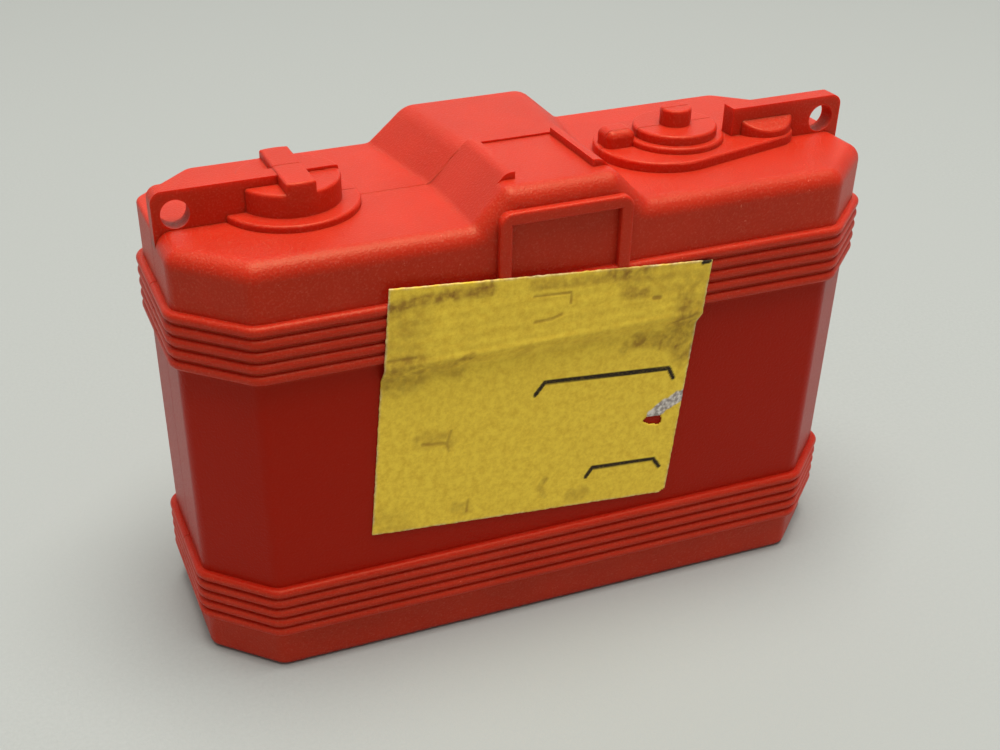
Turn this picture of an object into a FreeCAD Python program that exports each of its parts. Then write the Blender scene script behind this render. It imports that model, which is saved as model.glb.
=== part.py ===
import FreeCAD, Part
import math
import os
from FreeCAD import Vector

# Camera-shaped pocket case for a peg-grid guessing game, in millimetres.
# +X is right as seen from the rear, the rear face is on -Y, the base is z = 0
# and the two half shells meet on the seam plane y = 0.

# Body, an upright box with cut corners
body_half_width = 29.0
rear_depth = 9.9
front_depth = 10.8
deck_height = 36.3
corner_cut_x = 5.0
corner_cut_y = 4.75
corner_round = 1.4
edge_round = 1.35
front_edge_round = 0.35
base_round = 0.6
wall = 1.2
seam_gap = 0.08

# Two bands of ribs round the body
rib_count = 5
rib_pitch = 0.98
rib_height = 0.8
rib_proud = 0.6
rib_round = 0.36
rib_groove = 0.31
lower_band_z = 3.55
upper_band_z = 27.1

# Prism hump with its accessory shoe, and the blind eyepiece
prism_rise = 3.0
prism_top_half = 4.0
prism_foot_half = 7.0
prism_front_flare = 1.0
prism_front_foot_flare = 1.6
prism_valley_round = 0.8
prism_corner_round = 1.05
prism_front_corner_round = 2.2
prism_front_drop = 0.25
shoe_half_width = 3.15
shoe_depth = 0.4
shoe_length = 7.7
shoe_rail_rise = 0.55
eyepiece_half_width = 5.4
eyepiece_bar = 1.0
eyepiece_proud = 0.6
eyepiece_top = 37.45
eyepiece_round = 1.0

# Controls moulded on the deck, half on each shell, set in from the ends of the body
knob_inset = 10.7
knob_flange_r = 5.45
knob_flange_rise = 0.55
knob_drum_r = 4.0
knob_drum_rise_rear = 2.35
knob_drum_rise_front = 2.6
crank_width = 2.3
crank_rise = 3.2
lever_inset = 16.0
lever_hub_r = 5.35
lever_rise = 0.8
lever_tip_inset = 7.0
lever_tip_y = -0.5
lever_tip_r = 2.75
thumb_margin = 0.2
thumb_rear_rise = 1.25
thumb_lug_rise = 1.95
dial_inset = 14.7
dial_base_r = 4.0
dial_base_rise = 1.3
dial_r = 3.4
dial_rise = 2.05
button_r = 1.26
button_rise = 3.4
stop_block_offset = 6.2
stop_block_length = 2.5
stop_block_rear_reach = 0.6
stop_block_front_reach = 1.8
stop_block_rise = 2.15
stop_block_round = 0.6
control_round = 0.22

# Strap lugs, behind the seam at both ends of the deck
lug_thickness = 1.5
lug_rise = 3.05
lug_drop = 1.4
lug_round = 0.9
lug_hole_r = 1.1
lug_hole_inset = 1.75
lug_hole_rise = 1.2
right_lug_length = 10.2

# Lens relief on the front
lens_z = 17.8
lens_base_r = 9.2
lens_base_length = 2.6
lens_ring_r = 8.2
lens_ring_length = 2.4
lens_dish_r = 6.9
lens_dish_depth = 1.3

# Hinge at the right end and catch at the left end
hinge_stop_gap = 0.25
pin_r = 0.5
pin_clearance = 0.03
knuckle_r = 1.0
knuckle_count = 5
knuckle_gap = 0.15
knuckle_relief = 0.15
knuckle_end_gap = 0.4
catch_thickness = 0.8
catch_clearance = 0.25
catch_half_height = 5.0
catch_reach = 2.6
catch_root = 3.0
catch_bead_r = 0.35
catch_bead_clearance = 0.12

# Game panels, one moulding used twice
panel_thickness = 1.2
panel_side_gap = 0.35
panel_margin = 0.6
panel_rear_face = 4.2
panel_front_face = 2.2
grid_count = 10
grid_pitch = 2.9
rack_columns = 3
rack_margin = 3.1
hole_r = 0.65
peg_clearance = 0.05
post_r = 1.5
post_inset = 1.4
stake_r = 0.8
stake_clearance = 0.05
stake_head_r = 1.25
stake_head = 0.4

# Ships and pegs
ship_width = 2.3
ship_height = 1.4
ship_end_gap = 0.3
ship_tower = 0.8
ship_tower_width = 1.5
ship_foot = 1.0
ship_hole_depth = 0.9
peg_head_r = 1.0
peg_head = 1.1
peg_head_round = 0.3
peg_shank = 1.7

# Price label stuck on the rear
label_width = 26.7
label_height = 21.75
label_tilt = -4.7
label_x = -1.67
label_z = 21.3
label_thickness = 0.12
label_clearance = 0.03
label_ramp = 0.9

# Places worked out from the sizes above
prism_top = deck_height + prism_rise
knob_x = knob_inset - body_half_width
lever_x = body_half_width - lever_inset
lever_tip_x = body_half_width - lever_tip_inset
dial_x = body_half_width - dial_inset
stop_block_x = dial_x - stop_block_offset
right_lug_start = body_half_width - right_lug_length
hinge_x = body_half_width + rib_proud + hinge_stop_gap
band_height = (rib_count - 1) * rib_pitch + rib_height
hinge_bottom = lower_band_z + band_height + knuckle_end_gap
hinge_top = upper_band_z - knuckle_end_gap
eyepiece_foot = upper_band_z + band_height - rib_height / 2
panel_half_width = body_half_width - wall - catch_clearance - catch_thickness - panel_side_gap
panel_bottom = wall + panel_margin
panel_top = deck_height - wall - panel_margin
grid_z = (panel_bottom + panel_top) / 2
tall = 2 * deck_height
peg_r = hole_r - peg_clearance
near = 0.01
REAR = -1
FRONT = 1
LEFT = -1
RIGHT = 1


def box(x0, x1, y0, y1, z0, z1):
    """A block between two corners."""
    return Part.makeBox(x1 - x0, y1 - y0, z1 - z0, Vector(x0, y0, z0))


def upright(x, y, z0, z1, radius):
    """A vertical cylinder."""
    return Part.makeCylinder(radius, z1 - z0, Vector(x, y, z0))


def across(x, z, y0, y1, radius):
    """A cylinder along Y."""
    return Part.makeCylinder(radius, y1 - y0, Vector(x, y0, z), Vector(0, 1, 0))


def rounded(shape, radius, chosen):
    """Fillet the edges that the test picks by their middle point."""
    picked = []
    for edge in shape.Edges:
        middle = edge.valueAt((edge.FirstParameter + edge.LastParameter) / 2)
        if chosen(middle):
            picked.append(edge)
    return shape.makeFillet(radius, picked)


def same(value, *levels):
    """True where a value lies on one of the levels."""
    return min(abs(value - level) for level in levels) < near


def extruded(points, direction):
    """A prism on a closed outline of points."""
    return Part.Face(Part.makePolygon(points + points[:1])).extrude(direction)


def plan(offset):
    """Corner points of the cut-corner outline, moved outwards by an offset."""
    slant = math.hypot(corner_cut_x, corner_cut_y)
    cut_x = corner_cut_x + offset - offset * (slant - corner_cut_x) / corner_cut_y
    cut_y = corner_cut_y + offset - offset * (slant - corner_cut_y) / corner_cut_x
    half = body_half_width + offset
    rear = rear_depth + offset
    front = front_depth + offset
    flank = half - cut_x
    return [(-half, cut_y - rear), (-flank, -rear), (flank, -rear), (half, cut_y - rear),
            (half, front - cut_y), (flank, front), (-flank, front), (-half, front - cut_y)]


def plan_solid(offset, z0, z1):
    """The outline extruded between two heights, with its upright edges rounded."""
    points = [Vector(x, y, z0) for x, y in plan(offset)]
    solid = extruded(points, Vector(0, 0, z1 - z0))
    if corner_round + offset <= 0:
        return solid
    return rounded(solid, corner_round + offset, lambda middle: same(middle.z, (z0 + z1) / 2))


def half_space(side):
    """Everything on one side of the seam."""
    reach = 2 * body_half_width
    if side == REAR:
        return box(-reach, reach, -reach, 0, -reach, tall)
    return box(-reach, reach, seam_gap, reach, -reach, tall)


def hump_outline(y, foot, top, rise):
    """Front view of the body with its prism hump cut off at a rise, as a closed wire at one depth."""
    level = foot - (foot - top) * rise / prism_rise
    right = [(level, deck_height + rise), (foot, deck_height), (body_half_width, deck_height), (body_half_width, 0)]
    left = [(-x, z) for x, z in reversed(right)]
    points = [Vector(x, y, z) for x, z in left + right]
    return Part.makePolygon(points + points[:1])


def body_half(side, rise):
    """One half of the outer body: deck, hump of a given rise, cut corners and soft edges."""
    depth = rear_depth if side == REAR else front_depth
    foot = prism_foot_half if side == REAR else prism_foot_half + prism_front_foot_flare
    top = prism_top_half if side == REAR else prism_top_half + prism_front_flare
    corner = prism_corner_round if side == REAR else prism_front_corner_round
    rim = edge_round if side == REAR else front_edge_round
    seam_outline = hump_outline(0, prism_foot_half, prism_top_half, rise)
    body = Part.makeLoft([seam_outline, hump_outline(side * depth, foot, top, rise)], True, True)

    outline = plan_solid(0, 0, tall)
    skin = outline.Shells[0]

    def lengthwise(middle, height):
        return same(middle.z, height) and abs(abs(middle.y) - depth / 2) < depth / 10

    def in_valley(middle):
        return lengthwise(middle, deck_height) and abs(middle.x) < body_half_width / 2

    def on_crest(middle):
        return lengthwise(middle, deck_height + rise)

    def on_rim(middle):
        outside = skin.distToShape(Part.Vertex(middle))[0] < near
        return outside and middle.z > deck_height - near and not same(middle.y, 0)

    def on_base(middle):
        return same(middle.z, 0) and not same(middle.y, 0)

    body = rounded(body, prism_valley_round, in_valley)
    body = rounded(body, corner, on_crest)
    body = rounded(body.common(outline), rim, on_rim)
    return rounded(body, base_round, on_base)


def hump_rise(side):
    """Height of the hump above the deck, which on the rear half is the floor of the shoe."""
    return prism_rise - (shoe_depth if side == REAR else prism_front_drop)


def rib_band(z0):
    """One band of rounded ribs on the thinner slab that floors their grooves."""
    slabs = [plan_solid(rib_proud - rib_groove, z0 + rib_height / 2, z0 + band_height - rib_height / 2)]
    for index in range(rib_count):
        low = z0 + index * rib_pitch
        slab = plan_solid(rib_proud, low, low + rib_height)
        slabs.append(rounded(slab, rib_round, lambda middle: same(middle.z, low, low + rib_height)))
    return slabs


def capped(x, y, radius, rise):
    """A round control on the deck with a softened top edge."""
    top = deck_height + rise
    solid = upright(x, y, deck_height - wall / 2, top, radius)
    return rounded(solid, control_round, lambda middle: same(middle.z, top))


def rewind_knob(side):
    """Flange, drum and crank bar of the rewind knob."""
    drum_rise = knob_drum_rise_rear if side == REAR else knob_drum_rise_front
    top = deck_height + crank_rise
    left = knob_x - crank_width / 2
    crank = box(left, left + crank_width, -knob_drum_r, knob_drum_r, deck_height, top)
    crank = crank.common(upright(knob_x, 0, deck_height, top, knob_drum_r))
    crank = rounded(crank, control_round, lambda middle: same(middle.z, top))
    flange = capped(knob_x, 0, knob_flange_r, knob_flange_rise)
    return [flange, capped(knob_x, 0, knob_drum_r, drum_rise), crank]


def advance_lever():
    """Teardrop plate round the dial, drawn out to a raised thumb tip."""
    hub = Vector(lever_x, 0, deck_height - wall / 2)
    tip = Vector(lever_tip_x, lever_tip_y, deck_height - wall / 2)
    along = tip - hub
    heading = math.atan2(along.y, along.x)
    spread = math.acos((lever_hub_r - lever_tip_r) / along.Length)
    corners = []
    for centre, radius, turns in ((hub, lever_hub_r, (1, -1)), (tip, lever_tip_r, (-1, 1))):
        for turn in turns:
            angle = heading + turn * spread
            corners.append(centre + Vector(math.cos(angle), math.sin(angle), 0) * radius)
    height = wall / 2 + lever_rise
    plate = extruded(corners, Vector(0, 0, height))
    rounds = [Part.makeCylinder(lever_hub_r, height, hub), Part.makeCylinder(lever_tip_r, height, tip)]
    plate = plate.fuse(rounds).removeSplitter()
    plate = rounded(plate, control_round, lambda middle: same(middle.z, deck_height + lever_rise))
    return [plate, thumb_rest()]


def thumb_rest():
    """Wedge on the lever tip, rising to the strap lug behind it."""
    rear = lever_tip_y - lever_tip_r
    profile = [(rear, 0), (rear, thumb_rear_rise), (-lug_thickness, thumb_lug_rise), (-lug_thickness, 0)]
    points = [Vector(lever_tip_x - lever_tip_r, y, deck_height + rise) for y, rise in profile]
    wedge = extruded(points, Vector(2 * lever_tip_r, 0, 0))
    wedge = wedge.common(upright(lever_tip_x, lever_tip_y, 0, tall, lever_tip_r - thumb_margin))
    lowest = deck_height + thumb_rear_rise
    return rounded(wedge, control_round, lambda middle: middle.z > lowest and middle.y < -lug_thickness - near)


def shutter_dial():
    """Stepped dial with the release button on top, and the stop block beside it."""
    block = box(stop_block_x, stop_block_x + stop_block_length, -stop_block_rear_reach,
                stop_block_front_reach, deck_height - wall / 2, deck_height + stop_block_rise)
    block = rounded(block, stop_block_round, lambda middle: middle.z > deck_height)
    steps = [(dial_base_r, dial_base_rise), (dial_r, dial_rise), (button_r, button_rise)]
    return [capped(dial_x, 0, radius, rise) for radius, rise in steps] + [block]


def eyepiece():
    """Raised frame of the blind eyepiece on the rear face, open at its foot."""
    back = -rear_depth - eyepiece_proud
    frame = box(-eyepiece_half_width, eyepiece_half_width, back, -rear_depth + edge_round,
                eyepiece_foot, eyepiece_top)
    frame = rounded(frame, eyepiece_round,
                    lambda middle: same(middle.z, eyepiece_top) and same(abs(middle.x), eyepiece_half_width))
    inner = eyepiece_half_width - eyepiece_bar
    window = box(-inner, inner, back - wall, -rear_depth + edge_round, 0, eyepiece_top - eyepiece_bar)
    frame = frame.cut(window)
    return rounded(frame, eyepiece_proud / 3,
                   lambda middle: same(middle.y, back) and middle.z > eyepiece_foot + near)


def shoe_rails():
    """Two rails of the accessory shoe, standing on the rear half of the hump."""
    full = body_half(REAR, hump_rise(REAR) + shoe_rail_rise)
    floor = prism_top - shoe_depth - edge_round
    spans = ((-prism_foot_half, -shoe_half_width), (shoe_half_width, prism_foot_half))
    return [full.common(box(left, right, -shoe_length, 0, floor, tall)) for left, right in spans]


def lens_relief():
    """Two stepped rings of the lens on the front, with a dished end."""
    root = front_depth - wall / 2
    first = front_depth + lens_base_length
    end = first + lens_ring_length
    rings = across(0, lens_z, root, first, lens_base_r).fuse(across(0, lens_z, root, end, lens_ring_r))
    rings = rings.cut(across(0, lens_z, end - lens_dish_depth, end + wall, lens_dish_r))
    return rounded(rings, control_round, lambda middle: same(middle.y, first, end))


def lens_hollow():
    """Inside of the lens rings, so that their wall stays even."""
    end = front_depth + lens_base_length + lens_ring_length - lens_dish_depth - wall
    return across(0, lens_z, front_depth - 2 * wall, end, lens_dish_r - wall / 2)


def cavity():
    """Hollow of the closed case."""
    return plan_solid(-wall, wall, deck_height - wall)


def panel_faces(side):
    """Depths of a game panel: its play face and its back."""
    play = panel_rear_face if side == REAR else panel_front_face
    return side * play, side * (play + panel_thickness)


def post_places():
    """Centres of the four posts that hold a panel, in front view."""
    x = panel_half_width - post_inset
    return [(sx * x, z) for sx in (-1, 1) for z in (panel_bottom + post_inset, panel_top - post_inset)]


def posts(side):
    """Posts behind a panel, each drawn through it and headed over to hold it."""
    play, back = panel_faces(side)
    depth = rear_depth if side == REAR else front_depth
    inside = plan_solid(-wall / 2, 0, deck_height)
    solids = []
    for x, z in post_places():
        post = across(x, z, *sorted((back, side * depth)), post_r).common(inside)
        stake = across(x, z, *sorted((play - side * stake_head, back + side * wall)), stake_r)
        head = across(x, z, *sorted((play - side * stake_head, play)), stake_head_r)
        solids.append(post.fuse([stake, head]))
    return solids


def knuckle_spans(side):
    """Height spans of the knuckles that one shell carries, in turn from the base up."""
    pitch = (hinge_top - hinge_bottom + knuckle_gap) / knuckle_count
    first = 0 if side == REAR else 1
    starts = [hinge_bottom + index * pitch for index in range(first, knuckle_count, 2)]
    return [(start, start + pitch - knuckle_gap) for start in starts]


def knuckles(side):
    """Hinge barrels of one shell, each on an arm that runs into the end wall."""
    solids = []
    for low, high in knuckle_spans(side):
        inner = side * knuckle_relief
        outer = side * knuckle_r
        arm = box(body_half_width - wall / 2, hinge_x, *sorted((inner, outer)), low, high)
        solids.append(upright(hinge_x, 0, low, high, knuckle_r).fuse(arm))
    return solids


def hinge_relief():
    """Scallop in the end walls that lets the barrels turn."""
    return upright(hinge_x, 0, hinge_bottom - knuckle_gap, hinge_top + knuckle_gap, knuckle_r + knuckle_relief)


def hinge_pin():
    """Steel pin through all the knuckles."""
    return upright(hinge_x, 0, hinge_bottom, hinge_top, pin_r)


def catch_bead(clearance):
    """Bead on the catch tongue, or with a clearance its groove in the front shell."""
    x = -body_half_width + wall + catch_clearance
    y = seam_gap + catch_reach - 2 * catch_bead_r
    low = grid_z - catch_half_height - clearance
    high = grid_z + catch_half_height + clearance
    return upright(x, y, low, high, catch_bead_r + clearance)


def catch_tongue():
    """Springy tongue inside the left end wall of the rear shell, with its bead."""
    face = -body_half_width + wall + catch_clearance
    low = grid_z - catch_half_height
    high = grid_z + catch_half_height
    inner = face + catch_thickness
    tongue = box(face, inner, -catch_root, seam_gap + catch_reach, low, high)
    root = box(face - catch_clearance - wall / 2, inner, -catch_root, -catch_clearance, low, high)
    return [tongue, root, catch_bead(0)]


def shell(side):
    """One half shell, moulded in one piece with its half of every control."""
    features = rib_band(lower_band_z) + rib_band(upper_band_z)
    features += rewind_knob(side) + advance_lever() + shutter_dial()
    features.append(eyepiece() if side == REAR else lens_relief())
    features += shoe_rails() if side == REAR else []
    outer = body_half(side, hump_rise(side)).fuse(features).common(half_space(side))
    hollow = outer.cut([cavity(), hinge_relief()])
    if side == FRONT:
        hollow = hollow.cut([lens_hollow(), catch_bead(catch_bead_clearance)])
    inner = posts(side) + knuckles(side)
    if side == REAR:
        inner += catch_tongue()
    whole = hollow.fuse(inner)
    bore = upright(hinge_x, 0, hinge_bottom - wall, hinge_top + wall, pin_r + pin_clearance)
    return whole.cut(bore).removeSplitter()


def strap_lug(hand, inner_x, neighbours):
    """Upright wall on the deck just behind the seam, with a strap hole near its outer end."""
    outer_x = hand * body_half_width
    left, right = sorted((inner_x, outer_x))
    top = deck_height + lug_rise
    lug = box(left, right, -lug_thickness, 0, deck_height - lug_drop, top)
    lug = rounded(lug, lug_round, lambda middle: same(middle.z, top) and same(middle.x, outer_x))
    hole_x = outer_x - hand * lug_hole_inset
    hole = across(hole_x, deck_height + lug_hole_rise, -2 * lug_thickness, lug_thickness, lug_hole_r)
    return lug.cut([hole, body_half(REAR, hump_rise(REAR))] + neighbours)


def panel(side):
    """Game panel: a ten-by-ten field of peg holes with a peg rack at each side."""
    play, back = panel_faces(side)
    low_y = min(play, back)
    outline = [Vector(x, low_y, z) for x, z in
               ((-panel_half_width, panel_bottom), (panel_half_width, panel_bottom),
                (panel_half_width, panel_top), (-panel_half_width, panel_top))]
    rims = [Part.makePolygon(outline + outline[:1])]
    places = [(x, z, hole_r) for x, z in grid_places() + rack_places(LEFT) + rack_places(RIGHT)]
    places += [(x, z, stake_r + stake_clearance) for x, z in post_places()]
    for x, z, radius in places:
        rims.append(Part.Wire(Part.makeCircle(radius, Vector(x, low_y, z), Vector(0, 1, 0))))
    face = Part.Face(rims, "Part::FaceMakerBullseye")
    return face.extrude(Vector(0, panel_thickness, 0))


def row_heights():
    """Heights of the rows of holes."""
    return [grid_z + (row - (grid_count - 1) / 2) * grid_pitch for row in range(grid_count)]


def grid_place(column, row):
    """Centre of one hole of the field, in front view."""
    return (column - (grid_count - 1) / 2) * grid_pitch, row_heights()[row]


def grid_places():
    """Centres of the field of holes."""
    return [grid_place(column, row) for column in range(grid_count) for row in range(grid_count)]


def rack_places(hand):
    """Centres of the rack holes at one side of the field, from the panel's edge inwards."""
    outer = panel_half_width - rack_margin
    columns = [hand * (outer - column * grid_pitch) for column in range(rack_columns)]
    return [(x, z) for x in columns for z in row_heights()]


def peg():
    """One peg at the origin, its shank along +Y and its head towards -Y."""
    head = across(0, 0, -peg_head, 0, peg_head_r)
    head = rounded(head, peg_head_round, lambda middle: same(middle.y, -peg_head))
    return head.fuse(across(0, 0, -peg_head / 2, peg_shank, peg_r)).removeSplitter()


def peg_set(hand):
    """Pegs of one colour, pushed into the rack at one side of the front panel."""
    play, back = panel_faces(FRONT)
    one = peg()
    return Part.makeCompound([one.translated(Vector(x, play, z)) for x, z in rack_places(hand)])


def square(name):
    """Column and row of a square of the field, such as B9."""
    return ord(name[0]) - ord("A"), int(name[1:]) - 1


def ship(stern_square, bow_square):
    """A ship over a run of holes: pointed hull, tower, peg holes in its deck and two feet."""
    play, back = panel_faces(REAR)
    column, row = square(stern_square)
    bow_column, bow_row = square(bow_square)
    steps = bow_column - column + bow_row - row
    reach = steps * grid_pitch
    stern = -grid_pitch / 2 + ship_end_gap
    bow = reach + grid_pitch / 2 - ship_end_gap
    half = ship_width / 2
    shoulder = bow - half
    outline = [(stern, -half), (shoulder, -half), (bow, 0), (shoulder, half), (stern, half)]
    hull = extruded([Vector(x, 0, z) for x, z in outline], Vector(0, ship_height, 0))
    tower_x = reach / 2 if steps % 2 else (reach - grid_pitch) / 2
    tower_half = grid_pitch / 2 - hole_r - ship_end_gap
    tower = box(tower_x - tower_half, tower_x + tower_half, ship_height / 2, ship_height + ship_tower,
                -ship_tower_width / 2, ship_tower_width / 2)
    feet = [across(x, 0, -ship_foot, ship_height / 2, peg_r) for x in (0, reach)]
    holes = [across(step * grid_pitch, 0, ship_height - ship_hole_depth, 2 * ship_height, hole_r)
             for step in range(steps + 1)]
    solid = hull.fuse([tower]).cut(holes).fuse(feet).removeSplitter()
    if bow_row > row:
        solid.rotate(Vector(0, 0, 0), Vector(0, 1, 0), -90)
    x, z = grid_place(column, row)
    return solid.translated(Vector(x, play, z))


def price_label():
    """Paper label over the rear panel, the upper rib band and the eyepiece legs, turned a little."""
    on_panel = -rear_depth - label_clearance
    on_ribs = on_panel - rib_proud
    on_frame = on_panel - max(rib_proud, eyepiece_proud)
    path = [(on_panel, 0), (on_panel, upper_band_z - 2 * label_ramp),
            (on_ribs, upper_band_z - label_ramp / 2), (on_ribs, eyepiece_foot - 2 * label_ramp),
            (on_frame, eyepiece_foot - label_ramp), (on_frame, tall)]
    outer = [(y - label_thickness, z) for y, z in reversed(path)]
    points = [Vector(-body_half_width, y, z) for y, z in path + outer]
    sheet = extruded(points, Vector(2 * body_half_width, 0, 0))
    half_width = label_width / 2
    half_height = label_height / 2
    cutter = box(-half_width, half_width, -2 * rear_depth, 0, -half_height, half_height)
    cutter.rotate(Vector(0, 0, 0), Vector(0, 1, 0), -label_tilt)
    return sheet.common(cutter.translated(Vector(label_x, 0, label_z)))


fleet = {
    "carrier": ("B9", "F9"),
    "cruiser": ("A3", "A6"),
    "frigate": ("D6", "F6"),
    "submarine": ("I1", "I3"),
    "patrol_boat": ("E2", "F2"),
}

parts = {
    "rear_shell": shell(REAR),
    "front_shell": shell(FRONT),
    "hinge_pin": hinge_pin(),
    "left_strap_lug": strap_lug(LEFT, knob_x, rewind_knob(REAR)),
    "right_strap_lug": strap_lug(RIGHT, right_lug_start, advance_lever() + shutter_dial()),
    "ocean_panel": panel(REAR),
    "target_panel": panel(FRONT),
    "hit_pegs": peg_set(LEFT),
    "miss_pegs": peg_set(RIGHT),
    "price_label": price_label(),
}
for name, (stern_square, bow_square) in fleet.items():
    parts[name] = ship(stern_square, bow_square)

os.makedirs("parts", exist_ok=True)
for name, shape in parts.items():
    shape.exportStep("parts/" + name + ".step")
    print(name, len(shape.Solids), "solids", round(shape.Volume, 2), "mm3", shape.isValid())
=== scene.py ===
import math

import bpy
import numpy as np
from bpy.props import FloatProperty, FloatVectorProperty, PointerProperty
from mathutils import Matrix, Vector


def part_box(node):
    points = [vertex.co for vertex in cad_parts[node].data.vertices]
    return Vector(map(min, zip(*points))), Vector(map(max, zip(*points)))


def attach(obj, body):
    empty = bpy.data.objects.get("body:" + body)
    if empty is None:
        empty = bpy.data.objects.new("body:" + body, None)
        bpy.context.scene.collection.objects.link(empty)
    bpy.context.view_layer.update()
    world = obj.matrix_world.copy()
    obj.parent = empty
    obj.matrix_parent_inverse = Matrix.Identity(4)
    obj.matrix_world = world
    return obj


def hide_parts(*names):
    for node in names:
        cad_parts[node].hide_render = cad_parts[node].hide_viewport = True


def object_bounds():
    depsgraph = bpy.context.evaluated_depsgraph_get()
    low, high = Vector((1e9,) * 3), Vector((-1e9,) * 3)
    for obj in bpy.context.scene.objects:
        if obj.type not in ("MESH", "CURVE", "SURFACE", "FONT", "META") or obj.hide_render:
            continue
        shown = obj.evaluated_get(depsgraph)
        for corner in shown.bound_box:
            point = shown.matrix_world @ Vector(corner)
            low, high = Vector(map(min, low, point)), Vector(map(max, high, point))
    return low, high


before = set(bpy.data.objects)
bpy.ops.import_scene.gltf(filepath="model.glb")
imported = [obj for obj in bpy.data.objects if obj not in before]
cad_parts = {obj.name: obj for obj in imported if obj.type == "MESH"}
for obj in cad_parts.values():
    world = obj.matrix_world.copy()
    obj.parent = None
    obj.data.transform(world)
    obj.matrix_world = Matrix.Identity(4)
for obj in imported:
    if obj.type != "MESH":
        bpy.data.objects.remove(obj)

bl_info = {
    "name": "Camera-shaped game case",
    "version": (1, 0, 0),
    "blender": (4, 5, 0),
    "location": "View3D > Sidebar > Game case",
    "description": "Dresses the packed game case and sets its stage",
    "category": "Object",
}

MM = 0.001
CAD_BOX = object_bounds()
SHELL_NODES = ("rear_shell", "front_shell", "left_strap_lug", "right_strap_lug")
SHIP_NODES = ("carrier", "cruiser", "frigate", "submarine", "patrol_boat")
PLAY_FACES = {"rear_case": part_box("ocean_panel")[1][1], "front_case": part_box("target_panel")[0][1]}
FIELD_Z = (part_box("ocean_panel")[0][2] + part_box("ocean_panel")[1][2]) / 2
FIELD_SQUARES = 10
REAR_FACE = -9.9 * MM

# Finish of the shells: gloss of the plastic, and of the smooth zone between the rib bands, where the red is also
# darkened as painted shade
PLASTIC_GLOSS = 0.33
SMOOTH_GLOSS = 0.15
SMOOTH_AND_SHADE_SHARE = 0.88
SMOOTH_AND_SHADE_FOOT = (8.0 * MM, 8.4 * MM)
SMOOTH_AND_SHADE_HEAD = (26.7 * MM, 27.1 * MM)
GLOW = 0.7

# Thin fins left by the mould: steps between two points of a path, depth of the foot, and widths
FIN_STEPS = 60
FIN_SINK = 0.05 * MM
SEAM_FIN_WIDTH = 0.12 * MM
BASE_FIN_WIDTH = 0.1 * MM
SEAM_Y = -0.02 * MM
SEAM_PATHS = {
    "deck_seam_flash": ((-12.75, 36.3), (-7.5, 36.3), (-7.0, 36.48), (-5.6, 37.72), (-4.6, 38.7), (-4.2, 39.0)),
    "knob_seam_flash": ((-17.1, 38.65), (-15.6, 38.65), (-14.5, 38.65)),
    "crank_seam_flash": ((-19.3, 39.5), (-18.3, 39.5), (-17.3, 39.5)),
    "block_seam_flash": ((8.7, 38.45), (9.3, 38.45), (10.0, 38.45)),
    "dial_seam_flash": ((11.0, 38.35), (12.0, 38.35), (12.95, 38.35)),
    "button_seam_flash": ((13.3, 39.7), (14.3, 39.7), (15.3, 39.7)),
}
HIGH_SEAM = 39

# Rear face under the label: ramp up to the rib crests, the ribs, and the fold at their foot
LABEL_ROWS = 196
LABEL_COLUMNS = 240
RAMP_FOOT_Z = 25.3 * MM
RAMP_HEIGHT = 1.35 * MM
RIBS_FOOT_Z = 26.6 * MM
RIBS_HEAD_Z = 31.6 * MM
RIB_CREST_Z = 27.5 * MM
RIB_PITCH = 0.98 * MM
FOLD_Z = 26.75 * MM
FOLD_WIDTH = 0.28 * MM
FOLD_LIFT = 0.05 * MM
RIPPLE = 0.008 * MM
CREASE_DEPTH = 0.05 * MM
THINNEST = 0.06 * MM

# Camera: turn, lift and roll in degrees, the point it looks at, its distance and the shift of its frame
CAMERA_ANGLES = (-18.938, 34.137, -1.245)
CAMERA_AIM = Vector((-12.234, -7.779, 13.327)) * MM
CAMERA_DISTANCE = 111.071 * MM
CAMERA_SHIFT = (0.0950, 0.1184)

# Strokes on the label, in millimetres from its middle: points, half width, strength
STAIN_STROKES = (
    (((-13.2, 9.35), (-10.7, 9.8), (-7.6, 10.05), (-5.3, 10.15)), 0.28, 0.9),
    (((-1.8, 10.15), (1.4, 10.1), (2.8, 10.15), (4.8, 10.1)), 0.26, 0.55),
    (((-13.1, 8.2), (-11.6, 8.0), (-11.9, 6.4), (-12.6, 5.6)), 0.85, 0.4),
    (((-13.0, 4.4), (-10.9, 4.4), (-11.0, 3.2), (-12.8, 3.2)), 0.75, 0.6),
    (((-7.5, 4.35), (-6.3, 4.8)), 0.16, 0.75),
    (((-9.6, 3.6), (-8.3, 3.9), (-7.3, 3.4)), 0.5, 0.42),
    (((5.0, 10.6), (6.2, 10.4), (7.6, 10.3)), 0.5, 0.75),
    (((6.1, 8.85), (7.8, 8.7)), 0.34, 0.65),
    (((9.6, 9.6), (12.4, 9.2)), 0.8, 0.35),
    (((11.9, 7.2), (12.1, 5.6), (12.0, 4.6), (12.7, 2.9)), 0.75, 0.72),
    (((8.1, 4.1), (9.4, 4.1), (10.6, 3.9), (12.6, 3.3)), 0.4, 0.72),
    (((7.0, 3.4), (7.4, 4.0)), 0.2, 0.6),
    (((-9.6, -2.5), (-8.4, -2.6), (-7.6, -2.9)), 0.45, 0.4),
    (((-6.2, -9.3), (-5.3, -9.6)), 0.3, 0.45),
    (((1.6, -7.8), (1.2, -8.5), (1.7, -9.5)), 0.16, 0.5),
    (((4.3, -9.9), (5.3, -9.7)), 0.36, 0.5),
    (((-12.9, -9.6), (-11.0, -10.3)), 0.7, 0.25),
)
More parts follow.
